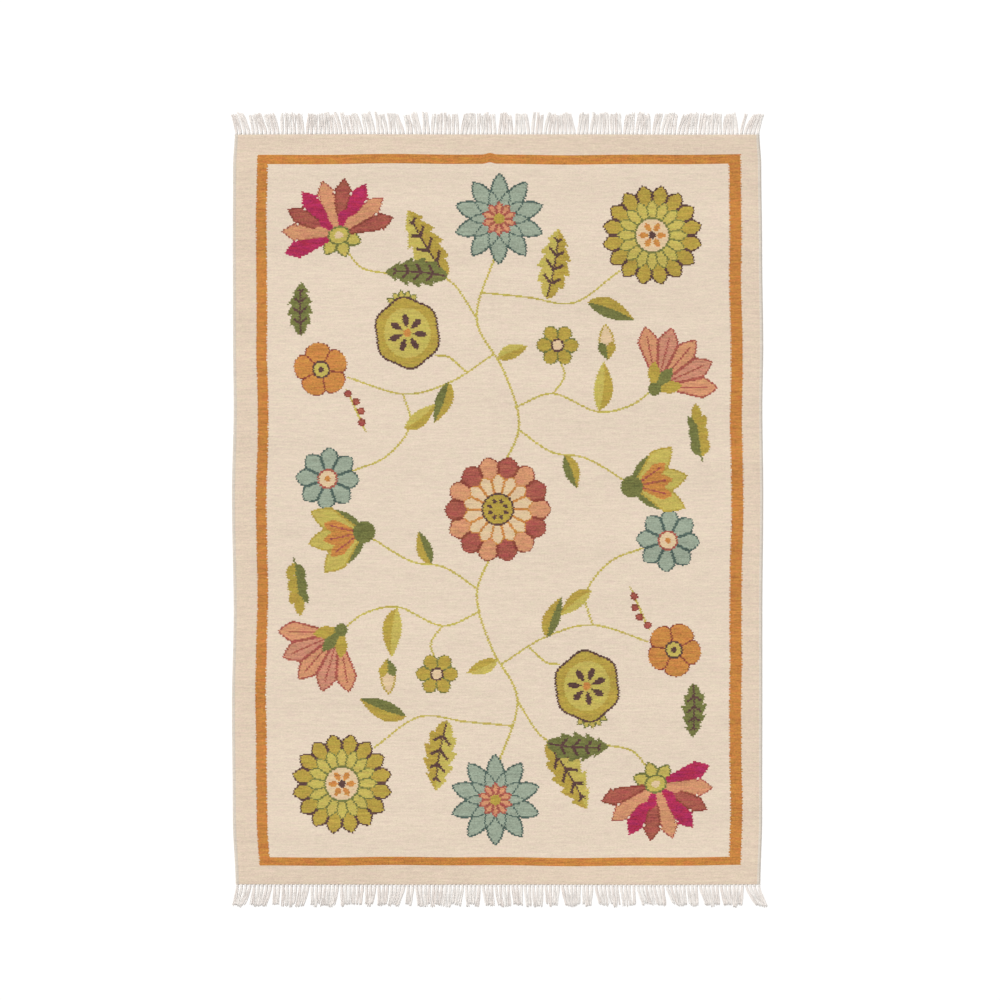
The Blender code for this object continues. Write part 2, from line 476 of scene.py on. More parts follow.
# The motifs are common ones of folk weaving: rosettes, daisies, fans, tulips, fruit and leaves
ROSETTE: Motif = (
    Petals(14, 0.120, 0.030, (edged(Dye.CORAL, Dye.RUST), edged(Dye.TERRACOTTA, Dye.RUST)),
           fullness=1.9, blunt=0.62),
    Petals(14, 0.080, 0.020, (edged(Dye.CREAM, Dye.ORANGE, 0.0040),), turn=12.9, fullness=1.5),
    Disc(0.037, edged(Dye.OLIVE, Dye.PLUM, 0.0042)),
    Petals(8, 0.012, 0.0046, (plain(Dye.PLUM),), start=0.013),
)
DAISY: Motif = (
    Petals(10, 0.104, 0.021, (edged(Dye.TEAL, Dye.DEEP_TEAL),), turn=18.0, fullness=1.35, blunt=0.75),
    Petals(10, 0.066, 0.012, (edged(Dye.TEAL, Dye.DEEP_TEAL, 0.0030),), fullness=1.2),
    Petals(10, 0.040, 0.011, (edged(Dye.CORAL, Dye.TERRACOTTA),), turn=18.0, blunt=0.8),
    Disc(0.0120, plain(Dye.OLIVE)),
)
SMALL_DAISY: Motif = (
    Petals(8, 0.072, 0.022, (edged(Dye.TEAL, Dye.DEEP_TEAL),), fullness=1.6, blunt=0.7),
    Disc(0.023, edged(Dye.CREAM, Dye.TERRACOTTA, 0.0044)),
    Disc(0.0065, plain(Dye.ORANGE)),
)
SUNFLOWER: Motif = (
    Petals(16, 0.114, 0.025, (edged(Dye.OLIVE),), fullness=1.6, blunt=0.7),
    Petals(16, 0.080, 0.016, (edged(Dye.LIME, Dye.MOSS, 0.0030),), turn=11.25, fullness=1.3),
    Disc(0.041, edged(Dye.CREAM, Dye.MOSS)),
    Petals(6, 0.022, 0.0066, (plain(Dye.ORANGE),), start=0.009),
    Disc(0.0085, plain(Dye.PLUM)),
)
FAN: Motif = (
    Petals(3, 0.056, 0.018, (edged(Dye.LIME, Dye.MOSS),), spread=150.0, turn=180.0, at=(0.0, 0.004)),
    Petals(9, 0.130, 0.025,
           (plain(Dye.MAGENTA), edged(Dye.CORAL, Dye.TERRACOTTA, 0.0030),
            edged(Dye.TERRACOTTA, Dye.RUST)),
           spread=204.0, fullness=1.45, blunt=0.78, teeth=4, tooth_depth=0.30),
    Petals(5, 0.060, 0.013, (plain(Dye.CORAL), plain(Dye.MAGENTA)), spread=150.0, fullness=1.2),
    Disc(0.026, edged(Dye.LIME, Dye.MOSS), squash=1.25),
    Disc(0.010, plain(Dye.CREAM), squash=1.25),
)
TULIP: Motif = (
    Petals(2, 0.082, 0.016, (plain(Dye.MOSS),), spread=200.0, at=(0.0, -0.030), fullness=0.9),
    Petals(3, 0.128, 0.030, (edged(Dye.LIME, Dye.OLIVE, 0.0044),), spread=100.0, fullness=1.0,
           blunt=0.8, at=(0.0, -0.032)),
    Petals(3, 0.086, 0.018, (plain(Dye.ORANGE),), spread=76.0, fullness=1.0, at=(0.0, -0.026),
           vein=Dye.TERRACOTTA),
    Disc(0.025, plain(Dye.MOSS), at=(0.0, -0.034)),
)
BLOSSOM: Motif = (
    Petals(5, 0.062, 0.029, (edged(Dye.ORANGE, Dye.RUST, 0.0030),), fullness=1.8, blunt=0.55),
    Disc(0.0205, edged(Dye.LIME)),
    Disc(0.0065, plain(Dye.PLUM)),
)
STAR_BLOSSOM: Motif = (
    Petals(6, 0.048, 0.017, (edged(Dye.OLIVE, Dye.MOSS, 0.0030),), fullness=1.7, blunt=0.6),
    Disc(0.0155, edged(Dye.CREAM)),
)
POMEGRANATE: Motif = (
    Petals(5, 0.048, 0.011, (edged(Dye.LIME, Dye.MOSS, 0.0030),), spread=110.0, at=(0.0, 0.050)),
    Disc(0.074, edged(Dye.OLIVE), lobes=6, lobe_depth=0.04, squash=0.92),
    Disc(0.052, plain(Dye.LIME), squash=0.92),
    Petals(7, 0.032, 0.0072, (plain(Dye.PLUM),), start=0.012, fullness=1.3),
    Disc(0.0090, plain(Dye.ORANGE)),
)
BELL: Motif = (
    Petals(5, 0.138, 0.029, (edged(Dye.CORAL, Dye.TERRACOTTA), edged(Dye.ROSE, Dye.TERRACOTTA)),
           spread=128.0, fullness=1.25, blunt=0.8, at=(0.0, -0.050), vein=Dye.TERRACOTTA),
    Petals(3, 0.066, 0.015, (plain(Dye.OLIVE), plain(Dye.MOSS)), spread=116.0, at=(0.0, -0.062)),
    Disc(0.0150, plain(Dye.MOSS), at=(0.0, -0.058)),
)
BUD: Motif = (
    Petals(1, 0.076, 0.018, (edged(Dye.CREAM, Dye.OLIVE, 0.0040),), fullness=0.9),
    Petals(2, 0.044, 0.012, (plain(Dye.MOSS), plain(Dye.OLIVE)), spread=80.0, at=(0.0, -0.006)),
)


def leaf(reach: float, half_width: float, bend: float = 0.0, light: Dye = Dye.LIME) -> Motif:
    """A pointed leaf of two tones, from its root at the motif's middle."""
    return (
        Petals(1, reach, half_width, (plain(light),), fullness=0.85, blunt=0.85, bend=bend,
               shade=Dye.OLIVE if light is Dye.LIME else Dye.MOSS),
    )


def veined_leaf(reach: float, half_width: float, bend: float = 0.0, dark: bool = False) -> Motif:
    """A saw-edged leaf with dark veins, in yellow-green or in moss green."""
    light, shade = (Dye.MOSS, Dye.MOSS) if dark else (Dye.LIME, Dye.OLIVE)
    return (
        Petals(1, reach, half_width, (plain(light),), fullness=0.9, blunt=0.7, bend=bend, teeth=5,
               tooth_depth=0.34, shade=shade, vein=Dye.PLUM, vein_width=0.0040, side_veins=5),
    )


def sprig(pairs: int, step: float, reach: float) -> Motif:
    """A straight sprig of paired leaves with one at its tip."""
    stem = Petals(1, step * (pairs + 0.5), 0.0028, (plain(Dye.MOSS),), blunt=0.2)
    sides = [
        Petals(2, reach, reach * 0.26, (plain(Dye.MOSS), plain(Dye.OLIVE)), spread=112.0,
               at=(0.0, step * (place + 0.4)))
        for place in range(pairs)
    ]
    tip = Petals(1, reach * 1.15, reach * 0.28, (plain(Dye.OLIVE),), at=(0.0, step * pairs))
    return (stem, *sides, tip)


def berries(count: int, step: float) -> Motif:
    """A winding row of berries on a thin stem."""
    places = [(0.010 * math.sin(1.1 * place), step * (place + 1)) for place in range(count)]
    stem = Petals(1, step * (count + 0.5), 0.0026, (plain(Dye.LIME),), blunt=0.2)
    return (stem, *(Disc(0.0088, edged(Dye.TERRACOTTA, Dye.RUST, 0.0030), at=at) for at in places))


# Half of the pattern: the other half is the same turned half round the rug's middle
VINES = (
    Vine(((0.000, 0.080), (0.048, 0.190), (0.012, 0.315), (-0.048, 0.430), (-0.005, 0.570)), 0.0052),
    Vine(((0.040, 0.230), (0.125, 0.262), (0.225, 0.222), (0.300, 0.235), (0.356, 0.276))),
    Vine(((-0.010, 0.350), (-0.110, 0.288), (-0.215, 0.262), (-0.340, 0.300))),
    Vine(((-0.046, 0.430), (-0.110, 0.520), (-0.205, 0.530), (-0.300, 0.545), (-0.340, 0.585))),
    Vine(((-0.034, 0.490), (0.070, 0.480), (0.175, 0.470), (0.278, 0.540))),
    Vine(((-0.215, 0.262), (-0.200, 0.190), (-0.255, 0.120), (-0.330, 0.088))),
    Vine(((0.046, 0.180), (0.120, 0.130), (0.200, 0.115), (0.296, 0.058))),
    Vine(((-0.072, 0.312), (-0.110, 0.345), (-0.140, 0.350))),
    Vine(((0.125, 0.262), (0.150, 0.300), (0.142, 0.335))),
)
SPOTS = (
    Spot(veined_leaf(0.172, 0.042, 0.16), -0.112, 0.528, 40.0),
    Spot(veined_leaf(0.140, 0.036, -0.14, dark=True), -0.112, 0.528, 78.0),
    Spot(veined_leaf(0.160, 0.040, -0.14), 0.112, 0.478, -18.0),
    Spot(FAN, -0.358, 0.622, 18.0),
    Spot(DAISY, 0.005, 0.658),
    Spot(SUNFLOWER, 0.352, 0.622),
    Spot(BLOSSOM, -0.400, 0.318, 10.0),
    Spot(POMEGRANATE, -0.205, 0.400, 8.0),
    Spot(STAR_BLOSSOM, 0.135, 0.372),
    Spot(BELL, 0.392, 0.318, -40.0),
    Spot(SMALL_DAISY, -0.385, 0.070, 20.0),
    Spot(TULIP, 0.335, 0.058, -78.0),
    Spot(leaf(0.110, 0.023, 0.20, Dye.OLIVE), 0.205, 0.470, -100.0),
    Spot(leaf(0.096, 0.020, 0.20, Dye.OLIVE), -0.112, 0.290, 172.0),
    Spot(leaf(0.110, 0.022, -0.20), 0.230, 0.224, -16.0),
    Spot(leaf(0.078, 0.018, 0.16, Dye.OLIVE), 0.150, 0.122, -150.0),
    Spot(leaf(0.088, 0.018, -0.18), -0.212, 0.184, -62.0),
    Spot(leaf(0.072, 0.017, 0.15), 0.000, 0.340, -58.0),
    Spot(veined_leaf(0.120, 0.030, 0.12, dark=True), -0.445, 0.395, 6.0),
    Spot(sprig(3, 0.028, 0.042), 0.462, 0.110, 6.0),
    Spot(berries(4, 0.024), -0.300, 0.176, 24.0),
    Spot(BUD, 0.248, 0.345, 4.0),
)


@dataclass
class WovenChart:
    """The rug's pattern as a chart: one dye for each cell between the lattice lines."""

    columns: int = 784
    rows: int = 640
    side_lines: tuple[float, ...] = tuple(SELVEDGE_STEPS[:, 0])
    end_lines: tuple[float, ...] = (0.0, 0.0015, 0.0035, HEM_DEPTH)
    tooth: float = 0.0011
    tooth_pitch: float = 0.0066
    tooth_stray: float = 0.0005
    frame_left: tuple[float, float] = (-0.546, -0.522)
    frame_right: tuple[float, float] = (0.527, 0.554)
    frame_foot: tuple[float, float] = (-0.808, -0.787)
    frame_head: tuple[float, float] = (0.784, 0.804)
    # Width and share of rows of the painted shade along the band's warp-wise edges
    join_shade_width: float = 0.0016
    join_shade_share: float = 0.4
    cord_columns: int = 4
    seed: int = 7
    across: np.ndarray = field(init=False)
    along: np.ndarray = field(init=False)
    cells: np.ndarray = field(init=False)
    sample_x: np.ndarray = field(init=False)
    sample_y: np.ndarray = field(init=False)

    def __post_init__(self) -> None:
        """Sets out the lattice and the place at which each cell reads the pattern.

        Rows are read a little to the left and to the right by turns, so an edge along the warp
        comes out toothed and an edge along the weft stays clean.
        """
        self.across = self.lines(HALF_WIDTH, self.side_lines, self.columns)
        self.along = self.lines(HALF_LENGTH, self.end_lines, self.rows)
        self.cells = np.full((self.rows, self.columns), NUMBER[Dye.GROUND], np.int16)
        chance = np.random.default_rng(self.seed)
        height = (self.along[1:] + self.along[:-1]) / 2
        tooth = self.tooth * np.sign(np.sin(math.tau * height / self.tooth_pitch))
        tooth = tooth + chance.uniform(-self.tooth_stray, self.tooth_stray, self.rows)
        middles = (self.across[1:] + self.across[:-1]) / 2
        self.sample_x = middles[None, :] + tooth[:, None]
        self.sample_y = np.repeat(height[:, None], self.columns, axis=1)

    @staticmethod
    def lines(half: float, edge_lines: Sequence[float], count: int) -> np.ndarray:
        """Places of the lattice lines over one side: close together at its edges, even within."""
        inner = half - edge_lines[-1]
        even = np.linspace(-inner, inner, count + 3 - 2 * len(edge_lines))
        edge = half - np.array(edge_lines[:-1])
        return np.concatenate([-edge, even, edge[::-1]])

    def patch(self, x: float, y: float, turn: float, reach: float) -> Patch:
        """The chart's cells round a place, seen in axes turned there.

        Args:
            x: place across.
            y: place along.
            turn: turn of the axes in degrees, anticlockwise from above.
            reach: half the window's side.

        Returns:
            The window.
        """
        first, last = np.searchsorted(self.across, (x - reach, x + reach))
        low, high = np.searchsorted(self.along, (y - reach, y + reach))
        rows, columns = slice(max(low - 1, 0), high), slice(max(first - 1, 0), last)
        dx, dy = self.sample_x[rows, columns] - x, self.sample_y[rows, columns] - y
        cosine, sine = math.cos(math.radians(turn)), math.sin(math.radians(turn))
        return Patch(self.cells[rows, columns], dx * cosine + dy * sine, dy * cosine - dx * sine)

    def paint_frame(self) -> None:
        """Lays the frame band, with painted shade along some rows of its edges, and the margin outside it
        in a slightly deeper ecru.
        """
        x, y = self.sample_x, self.sample_y
        (left, within_left), (within_right, right) = self.frame_left, self.frame_right
        (foot, within_foot), (within_head, head) = self.frame_foot, self.frame_head
        outer = np.minimum.reduce([x - left, right - x, y - foot, head - y])
        inner = np.minimum.reduce([x - within_left, within_right - x, y - within_foot, within_head - y])
        self.cells[outer < 0] = NUMBER[Dye.MARGIN]
        band = (outer >= 0) & (inner < 0)
        self.cells[band] = NUMBER[Dye.FRAME]
        # Painted shade: where the band's edge runs along the warp, some rows are painted darker where the
        # two yarns meet, standing in for the shade in the small pits there
        chance = np.random.default_rng(self.seed + 1)
        join_shade_mask = band & ((outer < self.join_shade_width) | (inner > -self.join_shade_width))
        join_shade_mask &= (chance.random(self.rows) < self.join_shade_share)[:, None]
        join_shade_mask &= np.abs(y) < within_head
        self.cells[join_shade_mask] = NUMBER[Dye.FRAME_JOIN_SHADE]
        self.cells[:, np.r_[: self.cord_columns, -self.cord_columns : 0]] = NUMBER[Dye.CORD]

    def paint_vine(self, vine: Vine) -> None:
        """Lays a stem, and the same stem turned half round the middle.

        A cell is on the stem where the nearest place of its curve is closer than half its width.
        """
        for side in (1.0, -1.0):
            path = vine.curve() * side
            middle = (path.min(axis=0) + path.max(axis=0)) / 2
            reach = float((path.max(axis=0) - path.min(axis=0)).max()) / 2 + vine.width
            patch = self.patch(middle[0], middle[1], 0.0, reach)
            nearest = np.full(patch.u.shape, np.inf)
            for place in path - middle:
                nearest = np.minimum(nearest, np.hypot(patch.u - place[0], patch.v - place[1]))
            patch.fill(nearest < vine.width / 2, vine.dye)

    def paint_spot(self, spot: Spot) -> None:
        """Lays a motif, and the same motif turned half round the middle."""
        for side, turn in ((1.0, spot.turn), (-1.0, spot.turn + 180.0)):
            patch = self.patch(spot.x * side, spot.y * side, turn, MOTIF_REACH)
            for part in spot.motif:
                part.paint(patch)

    def paint(self) -> None:
        """Lays the whole pattern: frame, stems, motifs, and the rosette in the middle."""
        self.paint_frame()
        for vine in VINES:
            self.paint_vine(vine)
        for spot in SPOTS:
            self.paint_spot(spot)
        middle = self.patch(0.0, 0.0, 0.0, MOTIF_REACH)
        for part in ROSETTE:
            part.paint(middle)


# Rows by columns of the blocks that the chart's cells merge into, tried in this order
BLOCKS = ((16, 16), (8, 8), (4, 4), (8, 1))
# Rows of the runs that the rest merges into, and the shortest run that is taken at that height
RUNS = ((2, 2), (1, 1))
LONGEST_RUN = 16


@dataclass
class Tiling:
    """The chart's cells with like neighbours merged into blocks and runs, as polygons."""

    cells: np.ndarray
    tallest: np.ndarray
    widest: np.ndarray
    is_corner: np.ndarray = field(init=False)
    corners: np.ndarray = field(init=False)
    counts: np.ndarray = field(init=False)
    dyes: np.ndarray = field(init=False)

    def blocks(self, free: np.ndarray, height: int, width: int) -> tuple[np.ndarray, ...]:
        """Finds the free blocks of one dye, of one size, and takes their cells.

        Args:
            free: which cells no tile has yet.
            height: the blocks' rows.
            width: their columns.

        Returns:
            Height, width, first row and first column of each.
        """
        rows, columns = self.cells.shape
        parts = (rows // height, height, columns // width, width)
        dyes = self.cells.reshape(parts)
        keep = dyes.max(axis=(1, 3)) == dyes.min(axis=(1, 3))
        keep &= free.reshape(parts).all(axis=(1, 3))
        keep &= self.tallest.reshape(parts).min(axis=(1, 3)) >= height
        keep &= self.widest.reshape(parts).min(axis=(1, 3)) >= width
        if width == 1:
            keep &= self.widest.reshape(parts).max(axis=(1, 3)) == 1
        free &= ~np.repeat(np.repeat(keep, height, axis=0), width, axis=1)
        row, column = np.nonzero(keep)
        return np.full(len(row), height), np.full(len(row), width), row * height, column * width

    def runs(self, free: np.ndarray, height: int, shortest: int) -> tuple[np.ndarray, ...]:
        """Finds the free runs of one dye along the weft, and takes their cells.

        Args:
            free: which cells no tile has yet.
            height: the runs' rows.
            shortest: columns of the shortest run taken.

        Returns:
            Height, width, first row and first column of each.
        """
        rows, columns = self.cells.shape
        parts = (rows // height, height, columns)
        dyes = self.cells.reshape(parts)
        alike = (dyes.max(axis=1) == dyes.min(axis=1)) & free.reshape(parts).all(axis=1)
        alike &= self.tallest.reshape(parts).min(axis=1) >= height
        first = alike.copy()
        parted = np.arange(columns) % np.minimum(self.widest.reshape(parts).min(axis=1), LONGEST_RUN) == 0
        first[:, 1:] &= ~alike[:, :-1] | (dyes[:, 0, 1:] != dyes[:, 0, :-1]) | parted[:, 1:]
        number = np.cumsum(first.ravel()).reshape(first.shape) - 1
        lengths = np.bincount(number[alike], minlength=int(first.sum()))
        keep = lengths >= shortest
        taken = alike & keep[np.maximum(number, 0)]
        free &= ~np.repeat(taken, height, axis=0)
        row, column = (place[keep] for place in np.nonzero(first))
        return np.full(len(row), height), lengths[keep], row * height, column

    def __post_init__(self) -> None:
        """Merges the cells and lists each tile's corners.

        A tile's outline runs anticlockwise through every lattice point on it that is a corner of
        some tile, so neighbours of different sizes share all their points and leave no gaps.
        """
        rows, columns = self.cells.shape
        free = np.ones(self.cells.shape, bool)
        found = [self.blocks(free, height, width) for height, width in BLOCKS]
        found += [self.runs(free, height, shortest) for height, shortest in RUNS]
        tall, wide, row, column = (np.concatenate(parts) for parts in zip(*found))
        self.is_corner = np.zeros((rows + 1, columns + 1), bool)
        for up in (row, row + tall):
            for right in (column, column + wide):
                self.is_corner[up, right] = True
        corners, counts, dyes = [], [], []
        for height, width in sorted(set(zip(tall.tolist(), wide.tolist()))):
            chosen = (tall == height) & (wide == width)
            upward, rightward = np.arange(height), np.arange(width)
            up = np.concatenate([rightward * 0, upward, rightward * 0 + height, height - upward])
            right = np.concatenate([rightward, upward * 0 + width, width - rightward, upward * 0])
            numbers = (row[chosen, None] + up) * (columns + 1) + column[chosen, None] + right
            kept = self.is_corner.ravel()[numbers]
            corners.append(numbers[kept])
            counts.append(kept.sum(axis=1))
            dyes.append(self.cells[row[chosen], column[chosen]])
        self.corners = np.concatenate(corners)
        self.counts = np.concatenate(counts)
        self.dyes = np.concatenate(dyes)


@dataclass(frozen=True)
class Unevenness:
    """One layer of uneven dye: its grains' size across and along the rug, and its weight."""

    across: float
    along: float
    weight: float
    start: float


@dataclass(frozen=True)
class WovenWool:
    """Wool weft beaten down over a cotton warp: matt, in small beads, with uneven dye and painted shade
    in the grooves between beads.

    Each weft shows as a bead where it passes over a warp. The real beads are about 3 by 1.3 mm.
    They are drawn 6 by 2.7 mm, the finest that the render shows, so two rows of the chart's
    teeth are two or three rows of beads.
    """

    name: str = "flat_woven_wool"
    bead_width: float = 0.0060
    bead_height: float = 0.00266
    groove_width: float = 0.0006
    sway: float = 0.0014
    sway_size: float = 0.012
    layers: tuple[Unevenness, ...] = (
        Unevenness(across=0.055, along=0.0036, weight=0.30, start=3.0),
        Unevenness(across=0.700, along=0.0550, weight=0.16, start=11.0),
        Unevenness(across=0.0036, along=0.0032, weight=0.42, start=23.0),
        Unevenness(across=0.016, along=0.0052, weight=0.20, start=31.0),
    )
    tint: Unevenness = Unevenness(across=0.030, along=0.0060, weight=0.022, start=41.0)
    bead_weight: float = 0.16
    grain_detail: float = 2.0
    grain_roughness: float = 0.55
    darker_bead: float = 0.45
    # Painted shade: the grooves between beads are darkened to this tone
    groove_shade_tone: float = 0.10
    paleness_range: tuple[float, float] = (0.15, 0.65)
    strength_range: tuple[float, float] = (2.40, 0.62)
    roughness: float = 0.92
    specular: float = 0.2
    sheen: float = 0.12
    relief: float = 0.0005
    relief_strength: float = 0.5
    groove_relief: float = 0.7

    def material(self) -> bpy.types.Material:
        """The wool's material.

        Its colour is the dye times a tone. The tone is one, more or less, by the weighted sum of
        the layers of noise and of the beads' own tones, with painted shade in the grooves between
        beads, and dark dyes take more of it than the pale ground. A slower layer turns the hue a
        little.
        """
        material, tree, shader = new_material(self.name, self.roughness, self.specular, self.sheen)
        place = add_node(tree, "Attribute", {"attribute_name": "weave_place"}).outputs["Vector"]
        dye = add_node(tree, "Attribute", {"attribute_name": "dye"}).outputs["Color"]
        grains = []
        for layer in (*self.layers, self.tint):
            size = (1.0 / layer.across, 1.0 / layer.along, 1.0)
            start = (layer.start, layer.start, 0.0)
            spaced = add_node(
                tree, "Mapping", values={"Scale": size, "Location": start}, links={0: place}
            )
            grain = add_node(
                tree,
                "TexNoise",
                {"noise_dimensions": "2D"},
                {"Scale": 1.0, "Detail": self.grain_detail, "Roughness": self.grain_roughness},
                {"Vector": spaced.outputs["Vector"]},
            )
            grains.append(grain.outputs["Fac"])

        # Wefts don't lie quite straight, so the beads sway with a slow noise
        slow = add_node(tree, "TexNoise", values={"Scale": 1.0 / self.sway_size}, links={"Vector": place})
        swayed = add_node(
            tree,
            "VectorMath",
            {"operation": "MULTIPLY_ADD"},
            {1: (self.sway, self.sway, 0.0)},
            {0: slow.outputs["Color"], 2: place},
        )
        # A bead is half a unit wide in the brick pattern's own units
        unit = 0.5 / self.bead_width
        # The beads' tones differ at random, and the mortar between them is painted shade in the grooves
        beads = add_node(
            tree,
            "TexBrick",
            {"offset": 0.5, "offset_frequency": 2, "squash": 1.0},
            {
                "Color1": (1.0, 1.0, 1.0, 1.0),
                "Color2": (*[self.darker_bead] * 3, 1.0),
                "Mortar": (*[self.groove_shade_tone] * 3, 1.0),
                "Scale": unit,
                "Mortar Size": self.groove_width * unit,
                "Mortar Smooth": 1.0,
                "Brick Width": 0.5,
                "Row Height": self.bead_height * unit,
            },
            {"Vector": swayed.outputs["Vector"]},
        )
        bead_tone_and_groove_shade = add_node(tree, "RGBToBW", links={"Color": beads.outputs["Color"]})

        weighted = [(grain, layer.weight) for grain, layer in zip(grains, self.layers)]
        weighted.append((bead_tone_and_groove_shade.outputs["Val"], self.bead_weight))
        total = None
        for source, weight in weighted:
            links = {0: source} if total is None else {0: source, 2: total}
            values = {1: weight, 2: 0.0} if total is None else {1: weight}
            total = add_node(tree, "Math", {"operation": "MULTIPLY_ADD"}, values, links).outputs["Value"]
        middle = sum(weight for _, weight in weighted) / 2
        centred = add_node(tree, "Math", {"operation": "SUBTRACT"}, {1: middle}, {0: total})
        paleness = add_node(tree, "RGBToBW", links={"Color": dye})
        strength = add_node(
            tree,
            "MapRange",
            values={
                "From Min": self.paleness_range[0],
                "From Max": self.paleness_range[1],
                "To Min": self.strength_range[0],
                "To Max": self.strength_range[1],
            },
            links={"Value": paleness.outputs["Val"]},
        )
        tone = add_node(
            tree,
            "Math",
            {"operation": "MULTIPLY_ADD"},
            {2: 1.0},
            {0: centred.outputs["Value"], 1: strength.outputs["Result"]},
        )
        toned = add_node(
            tree, "VectorMath", {"operation": "SCALE"}, links={0: dye, "Scale": tone.outputs["Value"]}
        )
        turn = add_node(
            tree,
            "Math",
            {"operation": "MULTIPLY_ADD"},
            {1: 2.0 * self.tint.weight, 2: 0.5 - self.tint.weight},
            {0: grains[-1]},
        )
        tinted = add_node(
            tree, "HueSaturation", links={"Hue": turn.outputs["Value"], "Color": toned.outputs["Vector"]}
        )
        tree.links.new(tinted.outputs["Color"], shader.inputs["Base Color"])
        raised = add_node(
            tree,
            "Math",
            {"operation": "MULTIPLY_ADD"},
            {1: -self.groove_relief},
            {0: beads.outputs["Fac"], 2: grains[2]},
        )
        bump = add_node(
            tree,
            "Bump",
            values={"Strength": self.relief_strength, "Distance": self.relief},
            links={"Height": raised.outputs["Value"]},
        )
        tree.links.new(bump.outputs["Normal"], shader.inputs["Normal"])
        return material


@dataclass(frozen=True)
class TwistedCotton:
    """Undyed two-ply cotton warp yarn: off-white and matt, with a slant groove between plies.

    The attribute "ply" holds the plies' turn, the yarn's tone, and one on a knot, where shade is painted.
    The real plies turn every 4 mm or so. They are drawn every 7 mm, which a close view shows.
    """

    name: str = "twisted_cotton_warp"
    pale: str = "FEFAF5"
    cool: str = "F3E9E2"
    roughness: float = 0.9
    specular: float = 0.2
    sheen: float = 0.15
    ply_depth: float = 0.0003
    ply_strength: float = 0.6
    # Painted shade: the groove between plies is darkened to this share
    groove_shade_tone: float = 0.93
    groove_end: float = 0.2
    # Painted shade on the knots, as a share taken off their colour
    knot_shade: float = 0.16

    def material(self) -> bpy.types.Material:
        """The yarn's material: tone by yarn, with painted shade in the groove between plies and on knots.
        """
        material, tree, shader = new_material(self.name, self.roughness, self.specular, self.sheen)
        ply = add_node(tree, "Attribute", {"attribute_name": "ply"}).outputs["Vector"]
        parts = add_node(tree, "SeparateXYZ", links={"Vector": ply})
        wave = add_node(tree, "Math", {"operation": "SINE"}, links={0: parts.outputs["X"]})
        # Painted shade in the groove between plies
        groove = add_node(
            tree,
            "MapRange",
            values={"From Min": -1.0, "From Max": self.groove_end, "To Min": self.groove_shade_tone},
            links={"Value": wave.outputs["Value"]},
        )
        tone = add_node(
            tree,
            "Mix",
            {"data_type": "RGBA"},
            {6: linear_colour(self.cool), 7: linear_colour(self.pale)},
            {0: parts.outputs["Y"]},
        )
        # Painted shade on knots
        knot_shading = add_node(
            tree,
            "Math",
            {"operation": "MULTIPLY_ADD"},
            {1: -self.knot_shade, 2: 1.0},
            {0: parts.outputs["Z"]},
        )
        shade = add_node(
            tree,
            "Math",
            {"operation": "MULTIPLY"},
            links={0: groove.outputs["Result"], 1: knot_shading.outputs["Value"]},
        )
        colour = add_node(
            tree,
            "VectorMath",
            {"operation": "SCALE"},
            links={"Vector": tone.outputs[2], "Scale": shade.outputs["Value"]},
        )
        tree.links.new(colour.outputs["Vector"], shader.inputs["Base Color"])
        bump = add_node(
            tree,
            "Bump",
            values={"Strength": self.ply_strength, "Distance": self.ply_depth},
            links={"Height": wave.outputs["Value"]},
        )
        tree.links.new(bump.outputs["Normal"], shader.inputs["Normal"])
        return material


